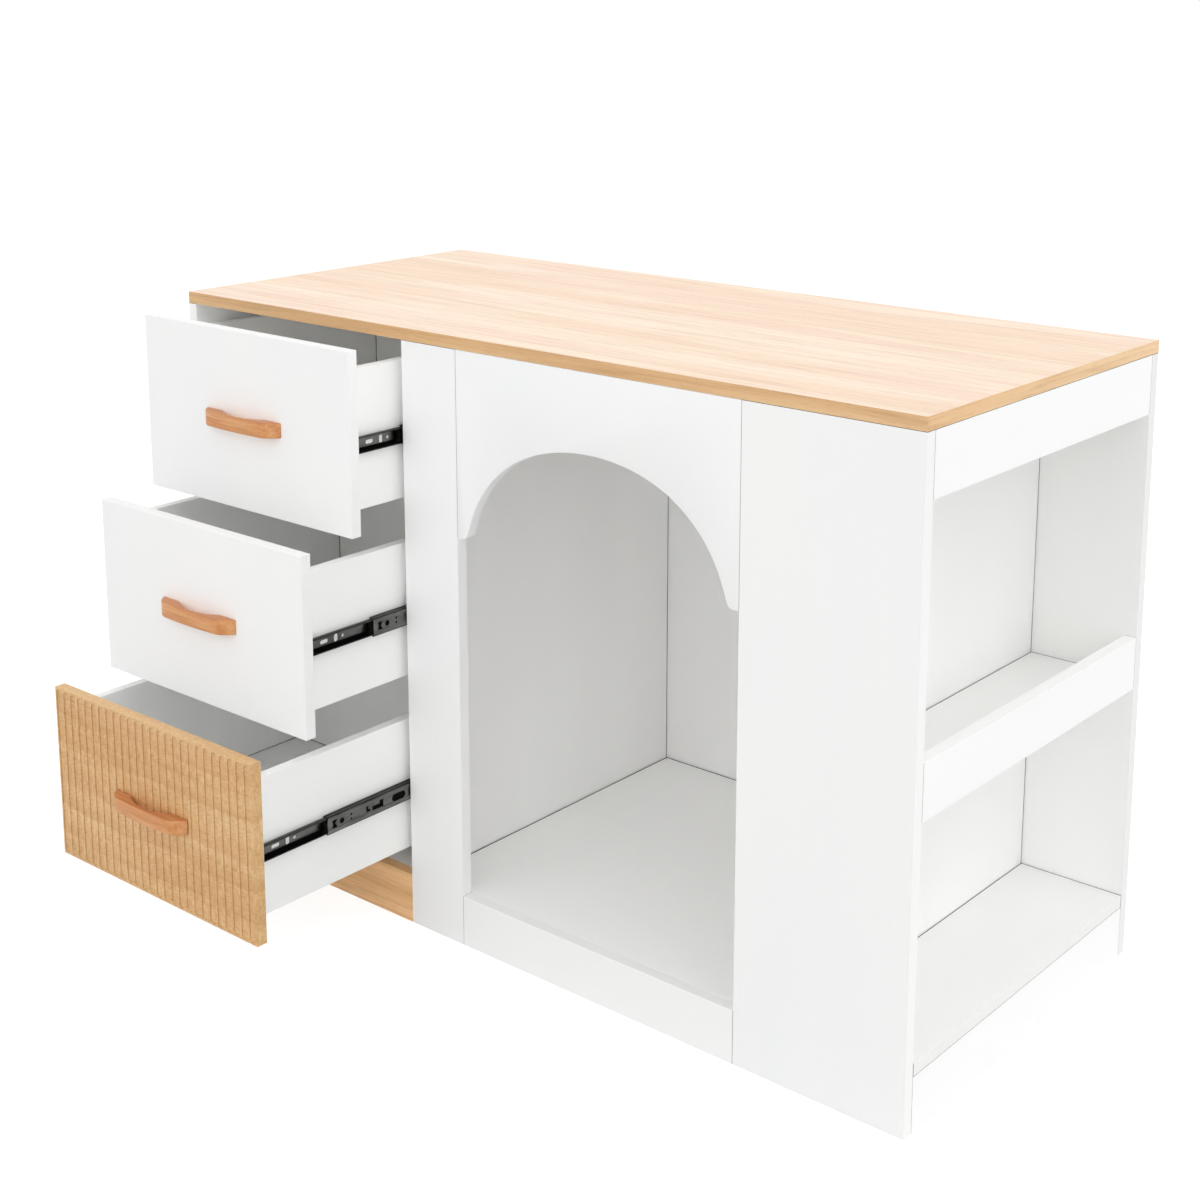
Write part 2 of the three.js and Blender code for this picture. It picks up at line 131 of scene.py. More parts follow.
def dressed(tree, face, base, pattern, rough, relief, depth):
    """Gives the shader its colour, a roughness between two values by the pattern, and a bump (mm)."""
    gloss = add(tree, RAMP, {"Fac": pattern}, [(0.3, rough[0]), (0.7, rough[1])])
    height = add(tree, "ShaderNodeBump", {"Height": relief, "Strength": 0.1, "Distance": depth * MM})
    tree.links.new(base, face.inputs["Base Color"])
    tree.links.new(gloss.outputs["Color"], face.inputs["Roughness"])
    tree.links.new(height.outputs["Normal"], face.inputs["Normal"])


# ------------------------------------------------------------------ materials


def white_board(name, tone, along, pale="F5F5F4"):
    """White laminate pressed on board: satin, with the faint embossed grain that such laminate has."""
    made, tree, face, coords = shader(name, Specular_IOR_Level=0.25)
    cloud = grain(tree, coords, along, 900, 260)
    fibre = grain(tree, coords, along, 90, 1.6, 3.0, 0.6)
    base = add(tree, RAMP, {"Fac": cloud}, [(0.35, colour(tone)), (0.65, colour(pale))]).outputs["Color"]
    base = stained(tree, base, fibre, 0.45, 0.75, 0.035, colour("DFDFDE"))
    dressed(tree, face, base, fibre, (0.38, 0.47), fibre, 0.1)
    return made


def oak_figure(tree, coords, along, tones, contrast):
    """Plain-sawn oak's colour: broad bands, pinkish patches, long streaks and short open pores."""
    pale, mid, dark, pink = (colour(tone) for tone in tones)
    bands = grain(tree, coords, along, 900, 60, 2.0, 0.5, 0.3)
    base = add(tree, RAMP, {"Fac": bands}, [(0.38, mid), (0.6, pale)]).outputs["Color"]
    patches = grain(tree, coords, along, 760, 52, 1.0)
    base = stained(tree, base, patches, 0.52, 0.66, 0.5, pink)
    streaks = grain(tree, coords, along, 300, 15, 3.0, 0.55, 0.4)
    base = stained(tree, base, streaks, 0.48, 0.72, 0.3 * contrast, dark)
    fibres = grain(tree, coords, along, 150, 4, 3.0, 0.6)
    base = stained(tree, base, fibres, 0.48, 0.74, 0.5 * contrast, dark)
    pores = grain(tree, coords, along, 20, 1.1, 2.0, 0.6)
    return stained(tree, base, pores, 0.58, 0.72, 0.4 * contrast, dark), pores


def oak(name, along, tones, rough, contrast=1.0, shift=0.0):
    """Oak in satin lacquer, whose open pores stay as fine dents in the gloss."""
    made, tree, face, coords = shader(name, Specular_IOR_Level=0.5)
    place = (shift, shift * 0.7, shift * 1.3)
    moved = add(tree, "ShaderNodeMapping", {"Vector": coords, "Location": place}).outputs["Vector"]
    base, pores = oak_figure(tree, moved, along, tones, contrast)
    relief = add(tree, MATH, {0: 1.0, 1: pores}, operation="SUBTRACT").outputs[0]
    dressed(tree, face, base, pores, rough, relief, 0.15)
    return made


# The fluted front's level staves from its foot up, each a place and how much stain it takes there, and how
# far the joints between them wander
STAVES = [(0.0, 0.25), (0.11, 0.15), (0.13, 0.65), (0.24, 0.25), (0.28, 0.12), (0.3, 0.8), (0.39, 0.3)]
STAVES += [(0.43, 0.15), (0.45, 0.7), (0.56, 0.25), (0.66, 0.1), (0.68, 0.75), (0.77, 0.3), (0.84, 0.1)]
STAVES += [(0.86, 0.65), (1.0, 0.3)]
STAVE_WANDER = 40 * MM
# Where painted shade darkens a flute's wall, as a share of the flute's half width
FLUTE_WALL_SHADE = [(0.78, 0.0), (0.9, 0.5), (0.97, 0.5), (1.0, 0.0)]
FLUTED_TONES = ("E6C28F", "DDB37C", "A57236", "E2B582")


def flute_share(tree, place, width, height):
    """How far a point is from the nearest flute's centre line, as a share of the flute's half width."""
    half_pitch = FLUTE_PITCH / 2
    centred = ((flute_count(width) - 1) % 2) * half_pitch
    slid = add(tree, MATH, {0: place.outputs["X"], 1: centred}, operation="ADD").outputs[0]
    across = add(tree, MATH, {0: slid, 1: half_pitch, 2: -half_pitch}, operation="WRAP").outputs[0]
    level = add(tree, MATH, {0: place.outputs["Z"]}, operation="ABSOLUTE").outputs[0]
    straight = height / 2 - FLUTE_MARGIN - FLUTE_WIDTH / 2
    past = add(tree, MATH, {0: level, 1: straight}, operation="SUBTRACT").outputs[0]
    beyond = add(tree, MATH, {0: past, 1: 0.0}, operation="MAXIMUM").outputs[0]
    spot = add(tree, "ShaderNodeCombineXYZ", {0: across, 1: beyond}).outputs[0]
    reach = add(tree, "ShaderNodeVectorMath", {0: spot}, operation="LENGTH").outputs["Value"]
    return add(tree, MATH, {0: reach, 1: FLUTE_WIDTH / 2}, operation="DIVIDE").outputs[0]


def fluted_oak(name, node):
    """The fluted front's oak: level staves glued edge to edge, and painted shade in the flutes' walls."""
    made, tree, face, coords = shader(name, Specular_IOR_Level=0.5)
    low, high = corners(node)
    width, _, height = high - low
    middle = add(tree, "ShaderNodeMapping", {"Vector": coords, "Location": -(low + high) / 2}).outputs[0]
    place = add(tree, "ShaderNodeSeparateXYZ", {0: middle})
    wander = grain(tree, middle, "X", 190, 60, 2.0)
    wandered = {0: wander, 1: STAVE_WANDER, 2: place.outputs["Z"]}
    drift = add(tree, MATH, wandered, operation="MULTIPLY_ADD").outputs[0]
    limits = {"From Min": (STAVE_WANDER - height) / 2, "From Max": (STAVE_WANDER + height) / 2}
    level = add(tree, "ShaderNodeMapRange", {"Value": drift, **limits})
    staves = add(tree, RAMP, {"Fac": level.outputs[0]}, STAVES).outputs["Color"]
    base, pores = oak_figure(tree, middle, "X", FLUTED_TONES, 0.8)
    speckle = grain(tree, middle, "X", 5, 2.4, 2.0)
    base = stained(tree, base, speckle, 0.5, 0.7, 0.42, colour("AE7436"))
    fleck = grain(tree, middle, "Z", 14, 5, 2.0)
    base = stained(tree, base, fleck, 0.5, 0.7, 0.5, colour("F2D29E"))
    base = stained(tree, base, staves, 0.0, 1.0, 0.55, colour("BA8242"))
    # Painted shade: each flute's wall is darkened towards 955F20, standing for the shade in the hollow
    wall = add(tree, RAMP, {"Fac": flute_share(tree, place, width, height)}, FLUTE_WALL_SHADE).outputs["Color"]
    base = add(tree, MIX, {0: wall, 6: base, 7: colour("955F20")}, data_type="RGBA").outputs[2]
    relief = add(tree, MATH, {0: 1.0, 1: pores}, operation="SUBTRACT").outputs[0]
    dressed(tree, face, base, pores, (0.4, 0.5), relief, 0.1)
    return made


def beech(name, shift, tones):
    """Reddish beech in satin lacquer: fine streaks along the handle and the short dark flecks of beech."""
    made, tree, face, coords = shader(name, Specular_IOR_Level=0.45)
    place = (shift, shift * 0.6, shift * 1.7)
    moved = add(tree, "ShaderNodeMapping", {"Vector": coords, "Location": place}).outputs["Vector"]
    low, mid, high = (colour(tone) for tone in tones)
    bands = grain(tree, moved, "X", 160, 9, 2.0, 0.5, 0.5)
    fibre = grain(tree, moved, "X", 60, 2.0, 3.0, 0.6)
    base = add(tree, RAMP, {"Fac": bands}, [(0.3, low), (0.5, mid), (0.7, high)]).outputs["Color"]
    base = stained(tree, base, fibre, 0.45, 0.75, 0.5, colour("A8683C"))
    fleck = grain(tree, moved, "X", 5, 0.7, 1.0)
    base = stained(tree, base, fleck, 0.62, 0.75, 0.35, colour("8F5430"))
    dressed(tree, face, base, fibre, (0.36, 0.48), fibre, 0.1)
    return made


def steel(name, tone, rough):
    """Zinc-plated steel rolled lengthways: fine drawn lines in the gloss and slightly uneven plating."""
    made, tree, face, coords = shader(name, Metallic=1.0)
    drawn = grain(tree, coords, "Y", 60, 0.35, 2.0, 0.6)
    cloud = grain(tree, coords, "Y", 30, 12)
    tones = [(0.3, colour(tone, 0.82)), (0.7, colour(tone, 1.2))]
    base = add(tree, RAMP, {"Fac": cloud}, tones).outputs["Color"]
    dressed(tree, face, base, drawn, (rough - 0.06, rough + 0.08), drawn, 0.03)
    return made


def moulded(name, tone, rough):
    """A dark matt surface, such as moulded nylon or a near-black sheet of painted shade, with a fine
    spark-eroded grain.
    """
    made, tree, face, coords = shader(name, Specular_IOR_Level=0.05)
    spark = grain(tree, coords, "X", 0.6, 0.6)
    tones = [(0.3, colour(tone, 0.8)), (0.7, colour(tone))]
    base = add(tree, RAMP, {"Fac": spark}, tones).outputs["Color"]
    dressed(tree, face, base, spark, (rough - 0.05, rough + 0.05), spark, 0.1)
    return made


WHITE = white_board("white laminated board, satin", "F2F3F3", "Z")
WHITE_FLAT = white_board("white laminated board, satin, grain lengthways", "F2F3F3", "X")
# Painted light: the right end's rails take a lighter copy of the white, standing for the light on that end
WHITE_DEEP_LIT = white_board("white laminated board, satin, grain front to back", "F6F7F6", "Y", "F8F9F8")
# Painted light: the drawers' boards take a copy of the white a touch lighter, standing for the light on the
# drawer sides
DRAWER_WHITE_LIT = white_board("white laminated drawer board, satin", "F4F4F2", "Y", "F7F7F6")
# Painted shade: the boards inside the drawer bay take a copy of the white a touch darker
INNER_WHITE_SHADED = white_board("white laminated board inside the carcass, satin", "F0EFEE", "Z")
# Painted shade: the boards round the open shelves take a darker copy of the white, standing for the shade in
# that recess
NICHE_WHITE_SHADED = white_board("white laminated board round the shelves, satin", "EBEBEA", "Z", "EEEEED")
# Painted light: the kennel's floor takes a lighter copy of the white, standing for the light that reaches it
KENNEL_FLOOR_LIT = white_board("white laminated kennel floor, satin", "F9F9F8", "Y", "FBFBFA")
UNDER_WHITE = white_board("cream backing paper, matt", "F3EEE6", "X")
TOP_TONES = ("F9E5CD", "F4D7BB", "C8935F", "F4D3BF")
OAK_TOP = oak("oak laminate worktop, satin lacquer", "X", TOP_TONES, (0.3, 0.42), 0.8)
EDGE_TONES = ("E3BE8D", "D6AA76", "A87642", "E0B488")
OAK_TOP_EDGE = oak("oak edge band, satin lacquer", "X", EDGE_TONES, (0.38, 0.48), 0.9, 0.31)
END_EDGE_TONES = ("F0CD9E", "E6BC8A", "B5834C", "EEC49A")
OAK_END_EDGE = oak("oak end edge band, satin lacquer", "Y", END_EDGE_TONES, (0.38, 0.48), 0.9, 0.77)
OAK_FRONT = fluted_oak("fluted oak front, satin lacquer", "bottom_drawer_front")
PLINTH_TONES = ("F5C791", "E6B479", "B3783F", "E8B381")
OAK_PLINTH = oak("oak plinth, satin lacquer", "X", PLINTH_TONES, (0.4, 0.5), 0.9, 2.11)
BEECH_TONES = ("CA844D", "D6975F", "DDA471")
# The beech of the handle's upward faces, darker than the rest of the handle
UPWARD_FACE_TONES = ("B87444", "C68250", "CE8F5E")
BEECH = {
    level: (
        beech(f"{level} bow handle, reddish beech, satin lacquer", 0.43 * i, BEECH_TONES),
        beech(f"{level} bow handle, beech across the layers", 0.43 * i, UPWARD_FACE_TONES),
    )
    for i, level in enumerate(LEVELS)
}
# The runner's steel, and a darker copy of it on the flanges as painted shade of the folds
RUNNER = (
    steel("black zinc-plated runner steel", "70716E", 0.32),
    steel("black zinc-plated runner steel, rolled rim", "40413F", 0.36),
)
# Painted shade: near-black strips standing for the shade inside the drawer member's lower flange
FLANGE_SHADE = moulded("black painted shade in the lower flange", "0A0A09", 0.7)
# Black nylon for the ball cage and the retainer; near-black and matt, which in the openings also stands as
# painted shade
BLACK_NYLON = moulded("black nylon ball cage", "0A0A09", 0.7)
SCREW_STEEL = steel("bright zinc-plated screw", "B9BCBE", 0.28)
# Painted shade: a near-black matt strip standing for the shade inside the boards' joints
PAINTED_JOINT_SHADE = moulded("raw board edge, dark in the joint", "1E1C1A", 0.8)


# ------------------------------------------------------------------ building pieces


def finished(mesh, name, material, body=None, nodes=(), smooth=None):
    """The bmesh as an object at the origin, with its material or materials, riding on its body."""
    bmesh.ops.recalc_face_normals(mesh, faces=mesh.faces)
    data = bpy.data.meshes.new(name)
    mesh.to_mesh(data)
    mesh.free()
    for each in material if isinstance(material, tuple) else (material,):
        data.materials.append(each)
    made = bpy.data.objects.new(name, data)
    bpy.context.scene.collection.objects.link(made)
    if smooth is not None:
        data.shade_smooth()
        data.set_sharp_from_angle(angle=math.radians(smooth))
    if body:
        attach(made, body)
    if nodes:
        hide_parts(*nodes)
    return made


def eased(mesh, edges, round_over, steps=2, clamp=False):
    """Rounds edges over by round_over (mm)."""
    bmesh.ops.bevel(
        mesh,
        geom=list(edges),
        offset=round_over * MM,
        segments=steps,
        profile=0.5,
        affect="EDGES",
        material=-1,
        clamp_overlap=clamp,
    )


def slab(mesh, low, high, round_over=0.6, steps=2):
    """A board between two corners (m) with its edges eased by round_over (mm)."""
    made = bmesh.ops.create_cube(mesh, size=1.0)["verts"]
    for vert in made:
        vert.co = Vector([low[i] if vert.co[i] < 0 else high[i] for i in range(3)])
    eased(mesh, {edge for vert in made for edge in vert.link_edges}, round_over, steps)


# Near-black strips in the boards' joints, one mesh for each body: painted shade of the joint, partly the raw
# board edge that shows there
JOINT_SHADE_STRIPS = {}
# How far (mm) a strip stays inside its board's other faces, reaches past the board's narrowed side, and stays
# off what is left of the board, and how far each board stays inside its CAD box
STRIP_INSET, STRIP_PAST, STRIP_OFF, BOARD_INSET = 0.25, 0.05, 0.01, 0.1


def joint(body, low, high):
    """A near-black strip of painted shade in a joint, gathered with the body's other joints."""
    if body not in JOINT_SHADE_STRIPS:
        JOINT_SHADE_STRIPS[body] = bmesh.new()
    slab(JOINT_SHADE_STRIPS[body], low, high, 0.02, 1)


def board(node, material, body, gaps=None, round_over=0.6):
    """A flat board in place of its CAD node. gaps narrows named sides (mm), where a joint shows with a strip
    of painted shade in it.
    """
    low, high = corners(node)
    unit = Vector((1, 1, 1)) * MM
    inside = (low + unit * STRIP_INSET, high - unit * STRIP_INSET)
    low += unit * BOARD_INSET
    high -= unit * BOARD_INSET
    for side, gap in (gaps or {}).items():
        axis = "XYZ".index(side[1])
        strip_low, strip_high = (corner.copy() for corner in inside)
        if side[0] == "-":
            strip_low[axis] = low[axis] - STRIP_PAST * MM
            low[axis] += gap * MM
            strip_high[axis] = low[axis] - STRIP_OFF * MM
        else:
            strip_high[axis] = high[axis] + STRIP_PAST * MM
            high[axis] -= gap * MM
            strip_low[axis] = high[axis] + STRIP_OFF * MM
        joint(body, strip_low, strip_high)
    mesh = bmesh.new()
    slab(mesh, low, high, round_over)
    finished(mesh, node + "_board", material, body, [node])


def thickened(mesh, faces, step):
    """Faces extruded by a step. Returns what the extrusion made."""
    grown = bmesh.ops.extrude_face_region(mesh, geom=faces)["geom"]
    bmesh.ops.translate(mesh, verts=[g for g in grown if isinstance(g, bmesh.types.BMVert)], vec=step)
    return grown


def extruded(mesh, outline, axis, near, far):
    """An outline of (u, v) points (m) across an axis, given its thickness. Returns its rims' edges."""
    order = {"X": (2, 0, 1), "Y": (0, 2, 1), "Z": (0, 1, 2)}[axis]

    def place(*uvw):
        return Vector([uvw[i] for i in order])

    cap = mesh.faces.new([mesh.verts.new(place(u, v, near)) for u, v in outline])
    grown = thickened(mesh, [cap], place(0, 0, far - near))
    other_cap = next(g for g in grown if isinstance(g, bmesh.types.BMFace))
    return {*cap.edges, *other_cap.edges}


def bezier(points, steps):
    """Points along a quadratic or cubic curve, without its first."""
    made = []
    for i in range(1, steps + 1):
        row = [Vector(p) for p in points]
        while len(row) > 1:
            row = [a.lerp(b, i / steps) for a, b in zip(row, row[1:])]
        made.append(tuple(row[0]))
    return made


# ------------------------------------------------------------------ carcass

# How far (mm) a board stops short of its neighbour, so that the joint shows as a dark line with a near-black
# strip of painted shade in it: inside the carcass and the drawers, round a floor, round a shelf, between two
# flush boards, at a drawer's back, and between a drawer's bottom and its front
INNER, FLOOR, SHELF, FLUSH, BACK, FRONT = 1.1, 1.8, 1.0, 0.3, 1.4, 0.5
FLOOR_GAPS = {"-X": FLOOR, "+X": FLOOR, "+Y": FLOOR}
SHELF_GAPS = {"-X": SHELF, "+Y": SHELF, "-Y": SHELF}
RAIL_GAPS = {"-Y": FLUSH, "+Y": FLUSH}
BACK_GAPS = {"-X": BACK, "+X": BACK, "-Z": INNER}
# How far (mm) the edges of the carcass's and the drawers' boards are eased
CARCASS_EDGE, FRONT_EDGE, BACK_EDGE, BOTTOM_EDGE, SIDE_EDGE = 0.4, 0.9, 0.4, 0.3, 0.3
CARCASS = {
    "left_side_panel": (WHITE, {"+Z": FLUSH}),
    "drawer_bay_divider": (INNER_WHITE_SHADED, {"+Y": INNER}),
    "kennel_end_divider": (NICHE_WHITE_SHADED, {"+Y": SHELF}),
    "back_panel": (INNER_WHITE_SHADED, {"+X": FLUSH}),
    "rear_end_panel": (NICHE_WHITE_SHADED, {"-X": FLUSH, "+Z": FLUSH}),
    "front_stile": (WHITE, {"+Z": FLUSH}),
    "front_end_panel": (WHITE, {"+Z": FLUSH}),
    "kennel_rail": (WHITE_FLAT, {"-X": FLUSH, "+X": FLUSH}),
    "kennel_floor": (KENNEL_FLOOR_LIT, FLOOR_GAPS),
    "drawer_bay_floor": (INNER_WHITE_SHADED, FLOOR_GAPS),
    "end_bottom_shelf": (NICHE_WHITE_SHADED, SHELF_GAPS),
    "end_plinth": (WHITE_DEEP_LIT, {**RAIL_GAPS, "+Z": FLUSH}),
    "middle_shelf": (NICHE_WHITE_SHADED, SHELF_GAPS),
    "middle_shelf_rail": (WHITE_DEEP_LIT, RAIL_GAPS),
    "end_top_rail": (WHITE_DEEP_LIT, {**RAIL_GAPS, "+Z": FLUSH}),
}
# The worktop's oak edge band and white backing, and how far its lower pieces stay off the carcass
BAND, BACKING, LIFT = 1.0 * MM, 0.6 * MM, 0.1 * MM
# How far (mm) the worktop's board, a thin backing and the oak band are eased
TOP_EDGE, BACKING_EDGE, BAND_EDGE = 0.25, 0.1, 0.45


def worktop():
    """A laminated board with white backing below and an oak band round its four edges."""
    low, high = corners("worktop")
    mesh = bmesh.new()
    slab(mesh, low + Vector((BAND, BAND, BACKING)), high - Vector((BAND, BAND, 0)), TOP_EDGE, 1)
    finished(mesh, "worktop_board", OAK_TOP, "cabinet", ["worktop"])
    mesh = bmesh.new()
    backing_top = (high.x - BAND, high.y - BAND, low.z + BACKING)
    slab(mesh, low + Vector((BAND, BAND, LIFT)), backing_top, BACKING_EDGE, 1)
    finished(mesh, "worktop_backing", UNDER_WHITE, "cabinet", ())
    bands = {
        "front": ((low.x, low.y), (high.x, low.y + BAND), OAK_TOP_EDGE),
        "rear": ((low.x, high.y - BAND), (high.x, high.y), OAK_TOP_EDGE),
        "left": ((low.x, low.y + BAND), (low.x + BAND, high.y - BAND), OAK_END_EDGE),
        "right": ((high.x - BAND, low.y + BAND), (high.x, high.y - BAND), OAK_END_EDGE),
    }
    for side, (start, end, material) in bands.items():
        mesh = bmesh.new()
        slab(mesh, (*start, low.z + LIFT), (*end, high.z), BAND_EDGE)
        finished(mesh, f"worktop_{side}_band", material, "cabinet", ())


# The doorway's bell-shaped arch, with a narrow rounded foot at either side: its rise, the foot's width and
# rounding, the slope at which the arch leaves the foot, and how full its curve is at the crown and the legs
ARCH_RISE, FOOT_WIDTH, FOOT_ROUNDING, LEG_ANGLE = 160 * MM, 17 * MM, 8 * MM, math.radians(73.7)
CROWN_FULLNESS, LEG_FULLNESS = 0.264, 0.926
ARCH_EDGE = 0.6


def half_arch(reach, foot):
    """Half of the arch, from the foot's tip to the crown, as distances from the middle and heights (m)."""
    crown = foot + ARCH_RISE
    along, up = math.cos(LEG_ANGLE), math.sin(LEG_ANGLE)
    rounding, pull = FOOT_ROUNDING / math.tan(LEG_ANGLE), ARCH_RISE * LEG_FULLNESS
    points = [(reach + FOOT_ROUNDING, foot)]
    points += bezier([points[-1], (reach, foot), (reach - rounding, foot + FOOT_ROUNDING)], 8)
    leg_pull = (reach - pull * along, foot + pull * up)
    return points + bezier([points[-1], leg_pull, (reach * CROWN_FULLNESS, crown), (0, crown)], 40)


def arch():
    """The arch panel over the doorway, and a strip of painted shade in the joint at either side of it."""
    low, high = corners("arch_panel")
    inset = Vector((0, 0.3, 0.5)) * MM
    for x in (low.x + 0.05 * MM, high.x - 0.25 * MM):
        strip_low = Vector((x, low.y, low.z)) + inset
        strip_high = Vector((x + 0.2 * MM, high.y, high.z)) - inset
        joint("cabinet", strip_low, strip_high)
    low += Vector((FLUSH, BOARD_INSET, 0)) * MM
    high -= Vector((FLUSH, BOARD_INSET, FLUSH)) * MM
    middle = (low.x + high.x) / 2
    half = half_arch(middle - low.x - FOOT_WIDTH, low.z)
    outline = [(low.x, high.z), (low.x, low.z)]
    outline += [(middle - u, v) for u, v in half]
    outline += [(middle + u, v) for u, v in reversed(half[:-1])]
    outline += [(high.x, low.z), (high.x, high.z)]
    mesh = bmesh.new()
    eased(mesh, extruded(mesh, outline, "Y", low.y, high.y), ARCH_EDGE)
    finished(mesh, "arch_board", WHITE, "cabinet", ["arch_panel"], smooth=30)


for node, (material, gaps) in CARCASS.items():
    board(node, material, "cabinet", gaps, CARCASS_EDGE)
board("drawer_plinth", OAK_PLINTH, "cabinet")
worktop()
arch()


# ------------------------------------------------------------------ drawers


# How far (mm) the oak front's edges are eased, where its grid's lines lie from a flute's centre line to its
# edge, closest where the wall is steepest, and how many rows split its height besides
OAK_EDGE, PLAIN_ROWS = 0.8, 6
WALL_LINES = [0.0, 0.35, 0.6, 0.75, 0.85, 0.92, 0.97, 1.0]


def fluted_front(node, material, body):
    """The oak front: a fine grid over its face, sunk along each stopped flute and eased at its edges."""
    low, high = corners(node)
    high.y -= BACKING
    centre = (low + high) / 2
    half = FLUTE_WIDTH / 2
    count = flute_count(high.x - low.x)
    first = centre.x - (count - 1) * FLUTE_PITCH / 2
    ease = OAK_EDGE * MM
    walls = [-share for share in reversed(WALL_LINES[1:])] + WALL_LINES
    edge_steps = [0.0, ease * 0.3, ease]
    columns = [low.x + step for step in edge_steps]
    for i in range(count):
        columns += [first + i * FLUTE_PITCH + half * share for share in walls]
    columns += [high.x - step for step in reversed(edge_steps)]
    rim = edge_steps + [FLUTE_MARGIN + half * (1 - share) for share in reversed(WALL_LINES)]
    between = [(high.z - low.z) * k / PLAIN_ROWS for k in range(1, PLAIN_ROWS)]
    rows = sorted([low.z + r for r in rim + between] + [high.z - r for r in rim])

    def sunk(x, z):
        """How far the face is sunk at a point, by a flute or by the eased edge."""
        i = min(max(round((x - first) / FLUTE_PITCH), 0), count - 1)
        across = x - (first + i * FLUTE_PITCH)
        beyond = max(abs(z - centre.z) - ((high.z - low.z) / 2 - FLUTE_MARGIN - half), 0.0)
        share = min(math.hypot(across, beyond) / half, 1.0)
        edge = min(x - low.x, high.x - x, z - low.z, high.z - z)
        rounding = ease - math.sqrt(max(ease**2 - (ease - min(edge, ease)) ** 2, 0.0))
        return max(FLUTE_DEPTH * (1 - share**FLUTE_POWER), rounding)

    mesh = bmesh.new()
    bmesh.ops.create_grid(mesh, x_segments=len(columns) - 1, y_segments=len(rows) - 1, size=0.5)
    for vert in mesh.verts:
        x = columns[round((vert.co.x + 0.5) * (len(columns) - 1))]
        z = rows[round((vert.co.y + 0.5) * (len(rows) - 1))]
        vert.co = Vector((x, low.y + sunk(x, z), z))
    outer = [edge for edge in mesh.edges if edge.is_boundary]
    grown = bmesh.ops.extrude_edge_only(mesh, edges=outer)["geom"]
    for vert in (g for g in grown if isinstance(g, bmesh.types.BMVert)):
        vert.co.y = high.y
    bmesh.ops.contextual_create(mesh, geom=[g for g in grown if isinstance(g, bmesh.types.BMEdge)])
    finished(mesh, node + "_fluted", material, body, [node], smooth=34)
    mesh = bmesh.new()
    inset = Vector((0.3 * MM, 0, 0.3 * MM))
    backing_low, backing_high = Vector((low.x, high.y, low.z)), Vector((high.x, high.y + BACKING, high.z))
    slab(mesh, backing_low + inset, backing_high - inset, BACKING_EDGE, 1)
    finished(mesh, node + "_backing", WHITE_FLAT, body, ())


# The groove in a drawer's side (mm): its depth, and its clearance under the bottom panel
GROOVE_DEPTH, GROOVE_CLEARANCE = 6.2, 0.3


def drawer_side(node, side, floor, body):
    """A drawer's side board, with the bottom panel's groove and a strip of painted shade in the joint along
    its upper edge.
    """
    low, high = corners(node)
    floor_low, floor_high = corners(floor)
    outer, inner = (high.x, low.x) if side > 0 else (low.x, high.x)
    grooved = inner + side * GROOVE_DEPTH * MM
    under, over = floor_low.z - GROOVE_CLEARANCE * MM, floor_high.z + INNER * MM
    start, end = sorted((inner + side * 0.2 * MM, grooved))
    joint(body, (start, low.y + 1.0 * MM, floor_high.z), (end, high.y - 1.0 * MM, over))
    outline = [(outer, low.z), (inner, low.z), (inner, under), (grooved, under)]
    outline += [(grooved, over), (inner, over), (inner, high.z), (outer, high.z)]
    mesh = bmesh.new()
    extruded(mesh, outline, "Y", low.y + 0.2 * MM, high.y)
    eased(mesh, mesh.edges, SIDE_EDGE)
    finished(mesh, node + "_board", DRAWER_WHITE_LIT, body, [node])


# The bow handle in plan (mm): how far its end, corner, shoulder and grip are from its middle, and how far its
# corners, its shoulders, its middle's pull and the hollow's pull stand out from the front
END, CORNER, SHOULDER, GRIP = 83.5, 72.0, 58.0, 50.0
CORNER_OUT, SHOULDER_OUT, MIDDLE_PULL, HOLLOW_PULL = 18.0, 19.8, 24.2, 31.2
# An upright corner is eased where it turns by more than SHARP, and a face whose normal points upwards past
# the second value takes the darker beech
SHARP, UPWARD_FROM = math.radians(25), 0.7


def handle_plan(centre, front):
    """The bow handle's outline in plan (m), standing off the front's face."""
    curve = [(-END, 0.0)]
    curve += bezier([curve[-1], (-CORNER, CORNER_OUT), (-SHOULDER, SHOULDER_OUT)], 8)
    curve += bezier([curve[-1], (0, MIDDLE_PULL), (SHOULDER, SHOULDER_OUT)], 14)
    curve += bezier([curve[-1], (CORNER, CORNER_OUT), (END, 0.0)], 8)
    curve += [(GRIP, 0.0)]
    curve += bezier([curve[-1], (0, HOLLOW_PULL), (-GRIP, 0.0)], 18)
    return [(centre + u * MM, front - v * MM) for u, v in curve]


def handle(level, body):
    """A drawer's bow handle, eased along its rims and its upright corners, with a darker beech on its upward
    faces.
    """
    node = f"{level}_handle"
    low, high = corners(node)
    mesh = bmesh.new()
    edges = extruded(mesh, handle_plan((low.x + high.x) / 2, high.y), "Z", low.z, high.z)
    for edge in mesh.edges:
        upright = abs(edge.verts[0].co.z - edge.verts[1].co.z) > 10 * MM
        if upright and edge.calc_face_angle(0.0) > SHARP:
            edges.add(edge)
    eased(mesh, edges, 1.3, 3, clamp=True)
    bmesh.ops.recalc_face_normals(mesh, faces=mesh.faces)
    for face in mesh.faces:
        # Faces that point upwards take the darker beech
        face.material_index = 1 if face.normal.z > UPWARD_FROM else 0
    finished(mesh, node + "_bow", BEECH[level], body, [node], smooth=40)


# A pan-head screw's outline as radii and heights (mm): the shank's tip, and the domed head above its seat
SHANK = [(0.0, 0.0), (1.75, 0.0), (2.0, 0.3)]
HEAD = [(2.0, 0.0), (4.25, 0.0), (4.25, 0.9), (3.9, 1.7), (3.1, 2.3), (1.8, 2.6), (0.0, 2.6)]


